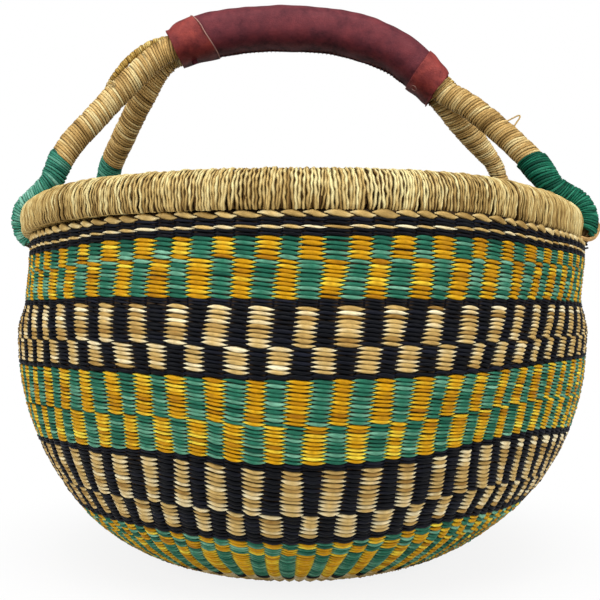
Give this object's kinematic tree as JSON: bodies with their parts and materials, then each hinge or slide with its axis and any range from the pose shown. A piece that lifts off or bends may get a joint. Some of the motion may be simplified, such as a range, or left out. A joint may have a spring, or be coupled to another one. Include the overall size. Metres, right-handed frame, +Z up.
{
  "type": "woven basket",
  "caption": "Round market basket twined from dyed grass in banded check patterns, with a wound roll rim and a double arched handle under a leather grip, its feet hooked round the rim.",
  "frame": {"origin": "middle of the flat underside, on the surface that the basket stands on", "axes": "+Z up; +X to the right of the picture, along the line between the handle's feet; +Y away from the picture's viewer"},
  "size_m": [0.4259, 0.4016, 0.4084],
  "materials": {
    "natural_grass": "undyed elephant grass straw, twined or wound, satin",
    "handle_grass": "undyed grass wound tightly and darkened by handling, satin",
    "green_yellow_twining": "green and golden yellow dyed grass twined in columns, satin",
    "natural_black_twining": "undyed and blue black dyed grass twined in columns, satin",
    "black_twining": "blue black dyed grass, twined, satin",
    "green_grass": "green dyed grass wound round the feet, satin",
    "grip_leather": "maroon goat leather, soft, creased, semi matt",
    "cuff_leather": "red brown leather strip, rubbed, semi matt"
  },
  "bodies": {
    "root": {"base_disc": "natural_grass", "green_yellow_low": "green_yellow_twining", "black_line_1": "black_twining", "natural_black_low": "natural_black_twining", "black_line_2": "black_twining", "green_yellow_mid": "green_yellow_twining", "black_line_3": "black_twining", "natural_black_high": "natural_black_twining", "black_line_4": "black_twining", "green_yellow_high": "green_yellow_twining", "border_twining": "black_twining", "rim_wrap": "natural_grass", "rim_core": "natural_grass", "handle_core_front": "natural_grass", "handle_core_back": "natural_grass", "handle_wrap_front": "handle_grass", "handle_wrap_back": "handle_grass", "foot_wrap_front_left": "green_grass", "foot_wrap_front_right": "green_grass", "foot_wrap_back_left": "green_grass", "foot_wrap_back_right": "green_grass", "handle_filler": "handle_grass", "grip_sleeve": "grip_leather", "grip_cuff_left": "cuff_leather", "grip_cuff_right": "cuff_leather"}
  },
  "joints": []
}
